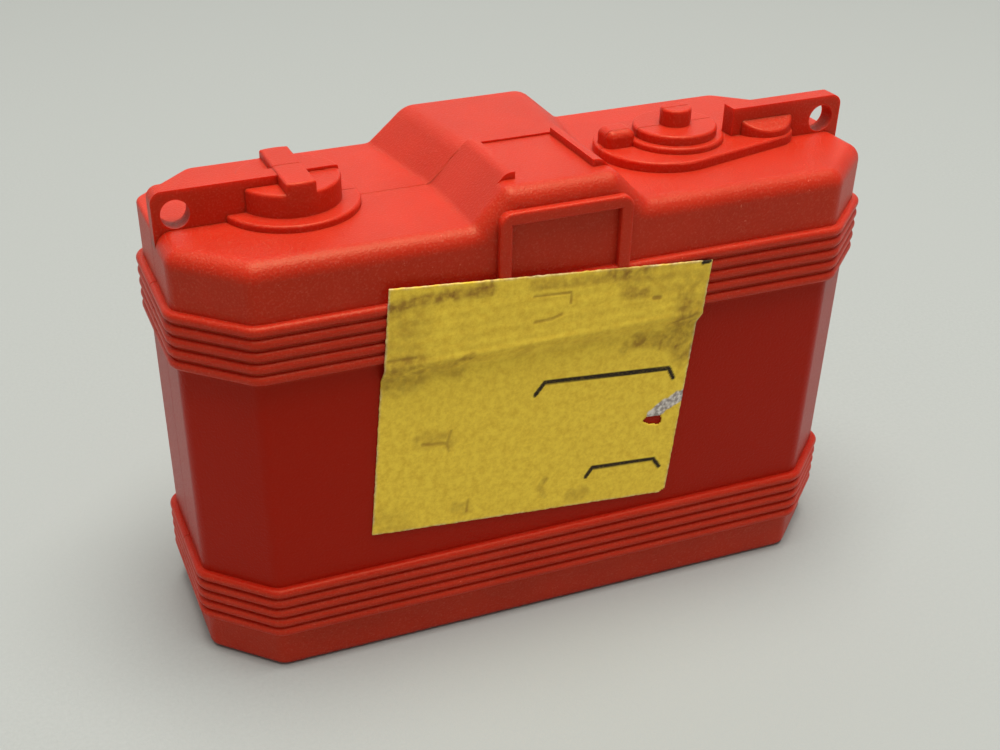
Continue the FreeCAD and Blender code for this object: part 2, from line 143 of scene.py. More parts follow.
CREASE_STROKES = (
    (((-13.1, 5.05), (-10.9, 5.1)), 0.07, 0.7),
    (((-5.33, 11.1), (-5.3, 10.4)), 0.07, 0.9),
    (((-1.7, 9.2), (1.1, 9.25), (1.4, 9.25), (1.47, 8.35)), 0.06, 0.8),
    (((-1.4, 7.05), (0.0, 7.2), (0.8, 7.5)), 0.08, 0.7),
    (((4.8, 11.2), (5.0, 9.9)), 0.06, 0.6),
    (((8.7, 8.1), (9.2, 8.08)), 0.12, 0.9),
    (((-9.6, -2.95), (-7.5, -3.1)), 0.09, 0.6),
    (((-7.25, -2.0), (-7.5, -3.1), (-7.3, -3.85)), 0.07, 0.6),
    (((-5.2, -8.75), (-5.25, -9.9)), 0.07, 0.6),
    (((10.4, 3.95), (10.35, 3.2)), 0.07, 0.6),
)
INK_STROKES = (
    (((-0.3, 0.33), (0.41, 1.36), (11.56, 1.33), (12.15, 0.36)), 0.17, 1.0),
    (((5.4, -8.18), (5.87, -7.35), (11.65, -7.32), (12.3, -8.13)), 0.17, 1.0),
    (((12.55, 10.7), (13.15, 10.82)), 0.15, 1.0),
)
BARE_STROKES = ((((10.9, -2.9), (11.6, -2.3), (12.2, -1.95), (13.3, -1.35)), 0.5, 1.0),)
TORN_STROKES = ((((10.45, -3.35), (10.9, -3.5), (11.45, -3.5)), 0.3, 1.0),)


class ShellFinish(bpy.types.PropertyGroup):
    """Moulded plastic of the two half shells."""

    plastic: FloatVectorProperty(name="Plastic", description="Main red of the shells", subtype="COLOR",
                                 size=3, default=(0.515, 0.019, 0.0055), min=0, max=1)
    shade: FloatVectorProperty(name="Shade", description="Deeper red of the cloudy patches", subtype="COLOR",
                               size=3, default=(0.465, 0.016, 0.0045), min=0, max=1)
    # Painted shade: this deeper red darkens the faces between the rib bands
    panel: FloatVectorProperty(name="Panel", description="Deeper red of the smooth faces between the rib bands",
                               subtype="COLOR", size=3, default=(0.372, 0.007, 0.002), min=0, max=1)
    scuff: FloatVectorProperty(name="Scuff", description="Pale tint of dust and rubbed spots", subtype="COLOR",
                               size=3, default=(0.74, 0.20, 0.13), min=0, max=1)
    roughness: FloatProperty(name="Roughness", description="Roughness of the shells", subtype="FACTOR",
                             default=0.42, min=0, max=1)
    flash_height: FloatProperty(name="Flash height", description="Height of the thin fin left on the seam",
                                subtype="DISTANCE", unit="LENGTH", default=0.06 * MM, min=0)


class LabelFinish(bpy.types.PropertyGroup):
    """Paper price label stuck on the rear."""

    width: FloatProperty(name="Width", description="Width of the label", subtype="DISTANCE", unit="LENGTH",
                         default=26.7 * MM, min=0)
    height: FloatProperty(name="Height", description="Height of the label", subtype="DISTANCE", unit="LENGTH",
                          default=21.75 * MM, min=0)
    tilt: FloatProperty(name="Tilt", description="Turn of the label on the rear face", subtype="ANGLE",
                        unit="ROTATION", default=math.radians(4.7))
    thickness: FloatProperty(name="Thickness", description="Thickness of the paper", subtype="DISTANCE",
                             unit="LENGTH", default=0.12 * MM, min=0)
    paper: FloatVectorProperty(name="Paper", description="Yellow of the paper", subtype="COLOR", size=3,
                               default=(0.98, 0.69, 0.064), min=0, max=1)
    fibre: FloatVectorProperty(name="Fibre", description="Duller yellow of the fibres", subtype="COLOR", size=3,
                               default=(0.81, 0.52, 0.041), min=0, max=1)
    # This brown is also painted as shade over the ramp below the fold
    stain_and_painted_shade: FloatVectorProperty(name="Stain", description="Brown of the rubbed and stained places",
                               subtype="COLOR", size=3, default=(0.32, 0.155, 0.020), min=0, max=1)
    ink: FloatVectorProperty(name="Ink", description="Ink of the ruled brackets", subtype="COLOR", size=3,
                             default=(0.022, 0.014, 0.008), min=0, max=1)
    # This pale colour is also painted as a highlight along the label's edges
    bare: FloatVectorProperty(name="Bare", description="Bare paper under the printed face", subtype="COLOR",
                              size=3, default=(0.80, 0.73, 0.66), min=0, max=1)


class GameFinish(bpy.types.PropertyGroup):
    """Panels, ships, pegs and pin inside the case."""

    sea: FloatVectorProperty(name="Sea", description="Blue of the panels", subtype="COLOR", size=3,
                             default=(0.045, 0.16, 0.36), min=0, max=1)
    lines: FloatVectorProperty(name="Lines", description="Lines and marks of the field", subtype="COLOR",
                               size=3, default=(0.75, 0.80, 0.82), min=0, max=1)
    ships: FloatVectorProperty(name="Ships", description="Grey of the ships", subtype="COLOR", size=3,
                               default=(0.24, 0.26, 0.28), min=0, max=1)
    hit: FloatVectorProperty(name="Hit pegs", description="Red of the hit pegs", subtype="COLOR", size=3,
                             default=(0.62, 0.02, 0.015), min=0, max=1)
    miss: FloatVectorProperty(name="Miss pegs", description="White of the miss pegs", subtype="COLOR", size=3,
                              default=(0.82, 0.81, 0.77), min=0, max=1)
    steel: FloatVectorProperty(name="Pin", description="Steel of the hinge pin", subtype="COLOR", size=3,
                               default=(0.58, 0.58, 0.60), min=0, max=1)
    pitch: FloatProperty(name="Pitch", description="Distance between peg holes", subtype="DISTANCE",
                         unit="LENGTH", default=2.9 * MM, min=0)
    mark_height: FloatProperty(name="Mark height", description="Height of the letters and numbers",
                               subtype="DISTANCE", unit="LENGTH", default=1.15 * MM, min=0)


class StageSettings(bpy.types.PropertyGroup):
    """Floor, lamps and camera."""

    floor: FloatVectorProperty(name="Floor", description="Pale grey of the floor", subtype="COLOR", size=3,
                               default=(0.362, 0.376, 0.355), min=0, max=1)
    top_power: FloatProperty(name="Top lamp", description="Power of the lamp overhead", subtype="POWER",
                             unit="POWER", default=5.3, min=0)
    back_power: FloatProperty(name="Back lamp", description="Power of the lamp behind", subtype="POWER",
                              unit="POWER", default=2.4, min=0)
    surround: FloatProperty(name="Surround", description="Level of the even light all round", default=0.355,
                            min=0)
    lens: FloatProperty(name="Lens", description="Focal length on a 36 mm frame", subtype="DISTANCE_CAMERA",
                        unit="CAMERA", default=48.80, min=1)


def add_node(tree, kind, sockets=(), **settings):
    """One shader node with its settings and the constant values of its sockets."""
    node = tree.nodes.new(kind)
    for name, value in settings.items():
        setattr(node, name, value)
    for name, value in dict(sockets).items():
        node.inputs[name].default_value = value
    return node


def rgba(colour):
    """A colour with full alpha."""
    return (*colour, 1.0)


def scaled(colour, share):
    """A colour with every channel scaled."""
    return tuple(share * channel for channel in colour)


def principled(tree):
    """The principled shader of a tree."""
    return next(node for node in tree.nodes if node.type == "BSDF_PRINCIPLED")


def object_axes(tree):
    """The object coordinates as three separate values."""
    split = add_node(tree, "ShaderNodeSeparateXYZ")
    tree.links.new(add_node(tree, "ShaderNodeTexCoord").outputs["Object"], split.inputs[0])
    return split.outputs


def mix_colour(tree, factor, first, second):
    """A colour mix whose factor and ends are sockets or constant colours."""
    node = add_node(tree, "ShaderNodeMix", data_type="RGBA")
    tree.links.new(factor, node.inputs[0])
    for index, end in ((6, first), (7, second)):
        if isinstance(end, bpy.types.NodeSocket):
            tree.links.new(end, node.inputs[index])
        else:
            node.inputs[index].default_value = rgba(end)
    return node.outputs[2]


def ranged(tree, value, low, high, to_low=0.0, to_high=1.0):
    """A value carried from one range to another, clamped at both ends."""
    node = add_node(tree, "ShaderNodeMapRange", {"From Min": low, "From Max": high, "To Min": to_low,
                                                 "To Max": to_high})
    tree.links.new(value, node.inputs["Value"])
    return node.outputs["Result"]


def sums(tree, operation, first, second):
    """One arithmetic step between two sockets, or a socket and a number."""
    node = add_node(tree, "ShaderNodeMath", operation=operation)
    for index, value in enumerate((first, second)):
        if isinstance(value, bpy.types.NodeSocket):
            tree.links.new(value, node.inputs[index])
        else:
            node.inputs[index].default_value = value
    return node.outputs[0]


def noise(tree, coordinates, scale, detail=2.0, rough=0.5):
    """Noise of a given number of cells per metre."""
    node = add_node(tree, "ShaderNodeTexNoise", {"Scale": scale, "Detail": detail, "Roughness": rough})
    tree.links.new(coordinates, node.inputs["Vector"])
    return node.outputs["Fac"]


def stretched(tree, coordinates, scale):
    """Coordinates scaled differently along each axis."""
    node = add_node(tree, "ShaderNodeMapping", {"Scale": scale})
    tree.links.new(coordinates, node.inputs["Vector"])
    return node.outputs["Vector"]


def bumped(tree, shader, height, depth, strength):
    """Bump on a shader from a height in 0 to 1 and its depth in metres."""
    node = add_node(tree, "ShaderNodeBump", {"Strength": strength, "Distance": depth})
    tree.links.new(height, node.inputs["Height"])
    tree.links.new(node.outputs["Normal"], shader.inputs["Normal"])


def new_finish(name, **constants):
    """A material with one principled shader, and the tree and object coordinates to build on."""
    material = bpy.data.materials.new(name)
    material.use_nodes = True
    tree = material.node_tree
    shader = principled(tree)
    for socket, value in constants.items():
        shader.inputs[socket.replace("_", " ")].default_value = value
    coordinates = add_node(tree, "ShaderNodeTexCoord").outputs["Object"]
    return material, tree, shader, coordinates


def moulded_plastic(name, colour, shade, scuff, roughness, scuffed=0.5, glow=0.0):
    """Matte moulded plastic: cloudy colour, fine grain, dust specks and faint rub lines, with light soaking in."""
    material, tree, shader, where = new_finish(name)
    shader.inputs["Specular IOR Level"].default_value = PLASTIC_GLOSS
    shader.inputs["Specular Tint"].default_value = (1.0, 0.82, 0.45, 1.0)
    shader.inputs["Subsurface Weight"].default_value = glow
    shader.inputs["Subsurface Radius"].default_value = (1.0, 0.12, 0.06)
    shader.inputs["Subsurface Scale"].default_value = 1.0 * MM
    grain = noise(tree, where, 6000, 2, 0.6)
    cloud = ranged(tree, noise(tree, where, 160, 4), 0.35, 0.65)
    base = mix_colour(tree, cloud, shade, colour)
    base = mix_colour(tree, ranged(tree, grain, 0.52, 0.76, 0, scuffed * 0.42), base, scuff)
    speck = ranged(tree, noise(tree, where, 3300, 1), 0.77, 0.82, 0, scuffed)
    base = mix_colour(tree, speck, base, scuff)
    rub = noise(tree, stretched(tree, where, (0.16, 0.16, 2.4)), 1100, 2, 0.55)
    rub = sums(tree, "MULTIPLY", ranged(tree, rub, 0.70, 0.78, 0, scuffed * 0.35), cloud)
    base = mix_colour(tree, rub, base, scuff)
    tree.links.new(base, shader.inputs["Base Color"])
    tree.links.new(ranged(tree, grain, 0.3, 0.7, roughness - 0.05, roughness + 0.08), shader.inputs["Roughness"])
    bumped(tree, shader, grain, 0.06 * MM, 0.75)
    return material


def give(node, material):
    """Put one material on every slot of a CAD node."""
    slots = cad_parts[node].material_slots
    if not slots:
        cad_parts[node].data.materials.append(material)
    for slot in slots:
        slot.material = material


def put_mesh(name, points, quads, material, smooth=True, caps=()):
    """A mesh object at the origin from arrays of points and quads, with any faces that cap its ends."""
    mesh = bpy.data.meshes.new(name)
    mesh.from_pydata(points.tolist(), [], quads.tolist() + list(caps))
    mesh.polygons.foreach_set("use_smooth", np.full(len(mesh.polygons), smooth))
    mesh.materials.append(material)
    mesh.update()
    piece = bpy.data.objects.new(name, mesh)
    bpy.context.collection.objects.link(piece)
    return piece


def grid_quads(rows, columns):
    """Corner numbers of the cells of a grid of points, as rows by columns by four."""
    index = np.arange(rows * columns).reshape(rows, columns)
    return np.stack([index[:-1, :-1], index[:-1, 1:], index[1:, 1:], index[1:, :-1]], axis=-1)


def wander(values, seed, count=9, low=1.0, high=14.0):
    """A smooth uneven curve in -1 to 1: a sum of sines with seeded pitches and phases."""
    rng = np.random.default_rng(seed)
    pitch = rng.uniform(low, high, count)
    phase = rng.uniform(0, 2 * np.pi, count)
    return np.sin(values[..., None] * pitch + phase).mean(axis=-1) * 1.8


def blotches(s, t, seed, scale):
    """A smooth uneven field in about -1 to 1: a sum of plane waves with seeded directions."""
    rng = np.random.default_rng(seed)
    turn = rng.uniform(0, 2 * np.pi, 14)
    pitch = rng.uniform(0.6, 1.6, 14) * scale
    phase = rng.uniform(0, 2 * np.pi, 14)
    wave = s[..., None] * np.cos(turn) * pitch + t[..., None] * np.sin(turn) * pitch + phase
    return np.sin(wave).mean(axis=-1) * 2.2


def stroke_field(s, t, strokes, soft):
    """Strength of a set of strokes: one, less the distance beyond the half width over a soft rim."""
    total = np.zeros_like(s)
    for points, half, strength in strokes:
        distance = np.full_like(s, 1e3)
        for (s0, t0), (s1, t1) in zip(points[:-1], points[1:]):
            run = max((s1 - s0) ** 2 + (t1 - t0) ** 2, 1e-9)
            along = np.clip(((s - s0) * (s1 - s0) + (t - t0) * (t1 - t0)) / run, 0, 1)
            distance = np.minimum(distance, np.hypot(s - s0 - along * (s1 - s0), t - t0 - along * (t1 - t0)))
        level = np.clip(1 - (distance - half) / (soft * half + 0.03), 0, 1)
        total = np.maximum(total, strength * level)
    return total


def label_grid(look):
    """Label surface on a grid: flat on the panel, ramped over the ribs, with ripples, creases and worn edges.

    y(z) runs from the panel to the rib crests on a smooth ramp; ripples follow the rib pitch, creases press in
    along their strokes, and low waves stand for lifted paper. Edges wander by a few hundredths of a millimetre.
    """
    half_width = look.width / MM / 2
    half_height = look.height / MM / 2
    s = np.linspace(-1, 1, LABEL_COLUMNS)[None, :] * np.ones((LABEL_ROWS, 1)) * half_width
    t = np.linspace(-1, 1, LABEL_ROWS)[:, None] * np.ones((1, LABEL_COLUMNS)) * half_height
    rim = np.clip(1 - (half_width - np.abs(s)) / 0.4, 0, 1)
    s = s + 0.03 * rim * wander(t, 3)
    rim = np.clip(1 - (half_height - np.abs(t)) / 0.4, 0, 1)
    t = t + 0.035 * rim * wander(s, 5)
    box_low, box_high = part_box("price_label")
    middle_x = (box_low[0] + box_high[0]) / 2
    middle_z = (box_low[2] + box_high[2]) / 2
    x = middle_x + MM * (s * math.cos(look.tilt) + t * math.sin(look.tilt))
    z = middle_z + MM * (t * math.cos(look.tilt) - s * math.sin(look.tilt))
    on_panel = -box_high[1]
    on_ribs = -box_low[1] - look.thickness
    rise = np.clip((z - RAMP_FOOT_Z) / RAMP_HEIGHT, 0, 1)
    rise = rise * rise * (3 - 2 * rise)
    over_ribs = np.clip((z - RIBS_FOOT_Z) / (0.5 * MM), 0, 1) * np.clip((RIBS_HEAD_Z - z) / (0.3 * MM), 0, 1)
    ripple = RIPPLE * over_ribs * (np.cos((z - RIB_CREST_Z) / RIB_PITCH * 2 * np.pi) - 1)
    crease = stroke_field(s, t, CREASE_STROKES, 1.2)
    waves = 0.02 * MM * blotches(s, t, 11, 0.9) + 0.006 * MM * blotches(s, t, 12, 5.0)
    fold = np.exp(-((z - FOLD_Z) / FOLD_WIDTH) ** 2)
    waves = waves + FOLD_LIFT * fold * np.clip(0.6 + 0.5 * wander(s, 8, 7, 0.1, 0.9), 0, 1)
    back = on_panel + (on_ribs - on_panel) * rise
    front = back + look.thickness + ripple - CREASE_DEPTH * crease + waves
    front = np.maximum(front, back + THINNEST)
    return s, t, x, z, -front, -back


def paper_finish(look):
    """Aged paper: mottled fibres, brown stains and painted shade over the ramp below the fold, ruled ink, and a
    bare scraped patch with a painted highlight along the edges, masked by attributes.
    """
    material, tree, shader, where = new_finish("label_paper", Roughness=0.72)
    shader.inputs["Specular IOR Level"].default_value = 0.22
    mottle = ranged(tree, noise(tree, where, 1500, 6, 0.75), 0.36, 0.60)
    fine = noise(tree, where, 9000, 2, 0.6)
    base = mix_colour(tree, mottle, look.fibre, look.paper)
    masks = {name: add_node(tree, "ShaderNodeAttribute", attribute_name=name).outputs["Fac"]
             for name in ("stain_and_painted_shade", "crease", "bare", "ink")}
    blot = sums(tree, "MULTIPLY", masks["stain_and_painted_shade"], ranged(tree, noise(tree, where, 1700, 3), 0.3, 0.6, 0.35, 1.0))
    base = mix_colour(tree, blot, base, look.stain_and_painted_shade)
    base = mix_colour(tree, sums(tree, "MULTIPLY", masks["crease"], 0.75), base, look.stain_and_painted_shade)
    pulp = mix_colour(tree, ranged(tree, noise(tree, where, 3000, 3), 0.4, 0.6), (0.34, 0.29, 0.26), look.bare)
    # The bare mask holds the scraped patch and the painted highlight along the edges
    base = mix_colour(tree, masks["bare"], base, pulp)
    ink = sums(tree, "MULTIPLY", masks["ink"], ranged(tree, fine, 0.25, 0.5, 0.86, 1.0))
    base = mix_colour(tree, ink, base, look.ink)
    tree.links.new(base, shader.inputs["Base Color"])
    bumped(tree, shader, sums(tree, "ADD", mottle, fine), 0.02 * MM, 0.35)
    return material


def walls_round(keep, columns, count):
    """Quads that close the rim of a kept set of grid cells between its front and its back copy."""
    index = np.arange(count).reshape(-1, columns)
    padded = np.pad(keep, 1)
    corner = {"low": (index[:-1, :-1], index[:-1, 1:]), "right": (index[:-1, 1:], index[1:, 1:]),
              "high": (index[1:, 1:], index[1:, :-1]), "left": (index[1:, :-1], index[:-1, :-1])}
    beside = {"low": padded[:-2, 1:-1], "right": padded[1:-1, 2:], "high": padded[2:, 1:-1],
              "left": padded[1:-1, :-2]}
    quads = []
    for side, (first, second) in corner.items():
        open_side = keep & ~beside[side]
        a = first[open_side]
        b = second[open_side]
        quads.append(np.stack([b, a, a + count, b + count], axis=1))
    return np.concatenate(quads)


class GAMECASE_OT_shells(bpy.types.Operator):
    """Give the half shells and the strap lugs their moulded red plastic"""

    bl_idname = "gamecase.shells"
    bl_label = "Dress the shells"

    def smooth_faces_and_painted_shade(self, material, colour):
        """Smoother plastic between the rib bands, by height in the shell, with a deeper red painted there as
        shade.
        """
        tree = material.node_tree
        shader = principled(tree)
        base, rough = (shader.inputs[name].links[0].from_socket for name in ("Base Color", "Roughness"))
        height = object_axes(tree)["Z"]
        above = ranged(tree, height, *SMOOTH_AND_SHADE_FOOT)
        smooth_and_shade_mask = sums(tree, "MULTIPLY", above, ranged(tree, height, *SMOOTH_AND_SHADE_HEAD, SMOOTH_AND_SHADE_SHARE, 0))
        smoother = sums(tree, "SUBTRACT", rough, sums(tree, "MULTIPLY", smooth_and_shade_mask, 0.08))
        gloss = ranged(tree, smooth_and_shade_mask, 0, SMOOTH_AND_SHADE_SHARE, PLASTIC_GLOSS, SMOOTH_GLOSS)
        # Painted shade: the deeper panel red is mixed in between the rib bands
        tree.links.new(mix_colour(tree, smooth_and_shade_mask, base, colour), shader.inputs["Base Color"])
        tree.links.new(smoother, shader.inputs["Roughness"])
        tree.links.new(gloss, shader.inputs["Specular IOR Level"])

    def execute(self, context):
        look = context.scene.gamecase_shell
        plastic = moulded_plastic("shell_red_plastic", look.plastic, look.shade, look.scuff, look.roughness,
                                  glow=GLOW)
        self.smooth_faces_and_painted_shade(plastic, look.panel)
        for node in SHELL_NODES:
            give(node, plastic)
        return {"FINISHED"}


class GAMECASE_OT_flash(bpy.types.Operator):
    """Lay the thin uneven fins that the mould left on the seams of the deck and on the edge of the base"""

    bl_idname = "gamecase.flash"
    bl_label = "Lay the mould flash"

    def fin(self, name, path, outward, height, width, seed):
        """A fin along a path: a triangular profile whose height wanders along the run, capped at both ends."""
        count = FIN_STEPS * (len(path) - 1)
        place = np.linspace(0, len(path) - 1, count)
        line = np.stack([np.interp(place, np.arange(len(path)), np.array(path)[:, axis]) for axis in range(3)], 1)
        length = np.concatenate([[0], np.cumsum(np.linalg.norm(np.diff(line, axis=0), axis=1))]) / MM
        tall = height * np.clip(0.35 + 0.65 * wander(length, seed, 11, 0.8, 9.0), 0.03, 1)
        outward = np.array(outward)
        sideways = np.array([0, width / 2, 0]) if abs(outward[2]) > 0.5 else np.array([0, 0, width / 2])
        sunk = line - outward * FIN_SINK
        rails = [sunk - sideways, line + outward * tall[:, None], sunk + sideways]
        points = np.concatenate(rails)
        run = np.arange(count - 1)
        quads = [np.stack([a * count + run, a * count + run + 1, b * count + run + 1, b * count + run], 1)
                 for a, b in ((0, 1), (1, 2), (2, 0))]
        caps = ((0, count, 2 * count), (3 * count - 1, 2 * count - 1, count - 1))
        piece = put_mesh(name, points, np.concatenate(quads), self.plastic, False, caps)
        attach(piece, "rear_case")

    def execute(self, context):
        look = context.scene.gamecase_shell
        pale = tuple((2 * red + white) / 3 for red, white in zip(look.plastic, look.scuff))
        self.plastic = moulded_plastic("flash_pale_plastic", pale, look.plastic, look.scuff, look.roughness)
        for seed, (name, seam) in enumerate(SEAM_PATHS.items()):
            path = [(x * MM, SEAM_Y, z * MM) for x, z in seam]
            tall = look.flash_height if seam[0][1] < HIGH_SEAM else look.flash_height / 3
            self.fin(name, path, (0, 0, 1), tall, SEAM_FIN_WIDTH, 21 + seed)
        path = [(x * MM, REAR_FACE + 0.17 * MM, 0.18 * MM) for x in (-23.4, -12.0, 0.0, 12.0, 23.4)]
        self.fin("base_edge_flash", path, (0, -1, 0), look.flash_height, BASE_FIN_WIDTH, 31)
        return {"FINISHED"}


class GAMECASE_OT_label(bpy.types.Operator):
    """Make the worn paper label that stands for the plain one"""

    bl_idname = "gamecase.label"
    bl_label = "Make the label"

    def execute(self, context):
        look = context.scene.gamecase_label
        s, t, x, z, front, back = label_grid(look)
        rows, columns = s.shape
        count = rows * columns
        half_width = look.width / MM / 2
        half_height = look.height / MM / 2
        frayed = s + 0.1 * blotches(s, t, 31, 7.0)
        level = t + 0.1 * blotches(s, t, 32, 7.0)
        torn = stroke_field(frayed, level, TORN_STROKES, 0.0) > 0.5
        notch = (s - half_width) * 0.8 - t - half_height > -0.3
        gone = torn | notch
        keep = ~(gone[:-1, :-1] | gone[1:, :-1] | gone[:-1, 1:] | gone[1:, 1:])
        face = grid_quads(rows, columns)[keep]
        quads = np.concatenate([face, face[:, ::-1] + count, walls_round(keep, columns, count)])
        points = np.concatenate([np.stack([x, depth, z], axis=-1).reshape(-1, 3) for depth in (front, back)])
        used = np.unique(quads)
        renumber = np.zeros(2 * count, dtype=int)
        renumber[used] = np.arange(len(used))
        piece = put_mesh("worn_price_label", points[used], renumber[quads], paper_finish(look))
        soft = stroke_field(frayed, level, STAIN_STROKES, 1.3)
        # Painted shade: the stain mask is raised on the ramp below the fold, which faces down, and faintly and
        # unevenly over the upper part of the label
        slope = np.clip((z - 25.0 * MM) / (1.8 * MM), 0, 1)
        painted_upper_shade = 0.65 * slope * (1 - slope) * np.clip(0.75 + 0.4 * blotches(s, t, 45, 1.2), 0, 1.2)
        painted_upper_shade = painted_upper_shade + np.clip(0.04 + 0.1 * blotches(s, t, 46, 2.2), 0, 0.25) * (t > 4)
        # Painted highlight: a pale rim along the label's edges stands for the paper's edge lit from above
        inset = np.minimum(half_width - np.abs(s), half_height - np.abs(t))
        rubbed = np.clip(1 - inset / 0.16, 0, 1) * np.clip(0.3 + 0.35 * blotches(s, t, 43, 3.0), 0, 0.5)
        marks = {
            # Stain strokes together with the painted shade of the upper part
            "stain_and_painted_shade": np.clip(soft * (0.85 + 0.35 * blotches(s, t, 41, 4.0)) + painted_upper_shade, 0, 1),
            "crease": stroke_field(s, t, CREASE_STROKES, 0.8),
            "bare": np.maximum(stroke_field(frayed, level, BARE_STROKES, 0.15), rubbed),
            "ink": stroke_field(s, t, INK_STROKES, 0.1),
        }
        for name, values in marks.items():
            layer = piece.data.attributes.new(name, "FLOAT", "POINT")
            layer.data.foreach_set("value", np.tile(values.ravel(), 2)[used])
        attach(piece, "rear_case")
        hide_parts("price_label")
        return {"FINISHED"}


class GAMECASE_OT_game(bpy.types.Operator):
    """Dress the panels, ships, pegs and pin, and print the coordinates of the field"""

    bl_idname = "gamecase.game"
    bl_label = "Dress the game"

    def sea_panel(self, look):
        """Blue plastic with pale lines between the holes, by the distance to a multiple of the pitch."""
        material = moulded_plastic("sea_blue_panel", look.sea, scaled(look.sea, 0.8), look.lines, 0.4, 0.2)
        tree = material.node_tree
        shader = principled(tree)
        base = shader.inputs["Base Color"].links[0].from_socket
        axes = object_axes(tree)
        across = axes["X"]
        up = sums(tree, "SUBTRACT", axes["Z"], FIELD_Z)
        reach = FIELD_SQUARES / 2 * look.pitch + 0.06 * MM
        line = None
        for along, other in ((across, up), (up, across)):
            gap = sums(tree, "PINGPONG", along, look.pitch / 2)
            stripe = ranged(tree, gap, 0.06 * MM, 0.08 * MM, 1, 0)
            for axis in (along, other):
                inside = ranged(tree, sums(tree, "ABSOLUTE", axis, 0.0), reach, reach + 0.02 * MM, 1, 0)
                stripe = sums(tree, "MULTIPLY", stripe, inside)
            line = stripe if line is None else sums(tree, "MAXIMUM", line, stripe)
        tree.links.new(mix_colour(tree, line, base, look.lines), shader.inputs["Base Color"])
        return material

    def glyph(self, word, size):
        """Points and triangles of one thin raised mark, centred on the origin."""
        curve = bpy.data.curves.new("mark", "FONT")
        curve.body = word
        curve.align_x = "CENTER"
        curve.align_y = "CENTER"
        curve.size = size
        curve.extrude = 0.02 * MM
        curve.resolution_u = 3
        holder = bpy.data.objects.new("mark", curve)
        bpy.context.collection.objects.link(holder)
        mesh = bpy.data.meshes.new_from_object(holder.evaluated_get(bpy.context.evaluated_depsgraph_get()))
        points = np.zeros(len(mesh.vertices) * 3)
        mesh.vertices.foreach_get("co", points)
        mesh.calc_loop_triangles()
        corners = np.zeros(len(mesh.loop_triangles) * 3, dtype=np.int32)
        mesh.loop_triangles.foreach_get("vertices", corners)
        bpy.data.objects.remove(holder)
        bpy.data.curves.remove(curve)
        bpy.data.meshes.remove(mesh)
        return points.reshape(-1, 3), corners.reshape(-1, 3)

    def coordinates(self, look, body, name, material, facing):
        """Letters over the columns and numbers beside the rows, as thin raised print on one panel."""
        half = FIELD_SQUARES / 2 * look.pitch
        places = [(k - (FIELD_SQUARES - 1) / 2) * look.pitch for k in range(FIELD_SQUARES)]
        over = FIELD_Z + half + look.mark_height
        words = [(chr(ord("A") + k), facing * place, over) for k, place in enumerate(places)]
        words += [(str(k + 1), -facing * (half + 1.3 * MM), FIELD_Z + place) for k, place in enumerate(places)]
        points = []
        triangles = []
        total = 0
        for word, x, z in words:
            flat, corners = self.glyph(word, look.mark_height * 1.3)
            triangles.append(corners + total)
            points.append(np.stack([x + facing * flat[:, 0], PLAY_FACES[body] - facing * flat[:, 2],
                                    z + flat[:, 1]], 1))
            total += len(flat)
        piece = put_mesh(name, np.concatenate(points), np.concatenate(triangles), material, False)
        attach(piece, body)

    def steel_pin(self, look):
        """Drawn steel: fine streaks along the pin in its roughness."""
        material, tree, shader, where = new_finish("pin_steel", Metallic=1.0)
        streak = noise(tree, stretched(tree, where, (1, 1, 0.02)), 9000, 2)
        tint = mix_colour(tree, streak, scaled(look.steel, 0.8), look.steel)
        tree.links.new(tint, shader.inputs["Base Color"])
        tree.links.new(ranged(tree, streak, 0.3, 0.7, 0.25, 0.45), shader.inputs["Roughness"])
        return material

    def execute(self, context):
        look = context.scene.gamecase_game
        panel = self.sea_panel(look)
        for node in ("ocean_panel", "target_panel"):
            give(node, panel)
        grey = moulded_plastic("ship_grey", look.ships, scaled(look.ships, 0.85), look.lines, 0.38, 0.25)
        for node in SHIP_NODES:
            give(node, grey)
        for node, colour in (("hit_pegs", look.hit), ("miss_pegs", look.miss)):
            give(node, moulded_plastic(node + "_plastic", colour, scaled(colour, 0.88), look.lines, 0.3, 0.1))
        give("hinge_pin", self.steel_pin(look))
        print_finish, tree, shader, where = new_finish("field_print", Roughness=0.6)
        shade = mix_colour(tree, noise(tree, where, 3000, 2), scaled(look.lines, 0.85), look.lines)
        tree.links.new(shade, shader.inputs["Base Color"])
        self.coordinates(look, "rear_case", "ocean_marks", print_finish, -1)
        self.coordinates(look, "front_case", "target_marks", print_finish, 1)
        return {"FINISHED"}


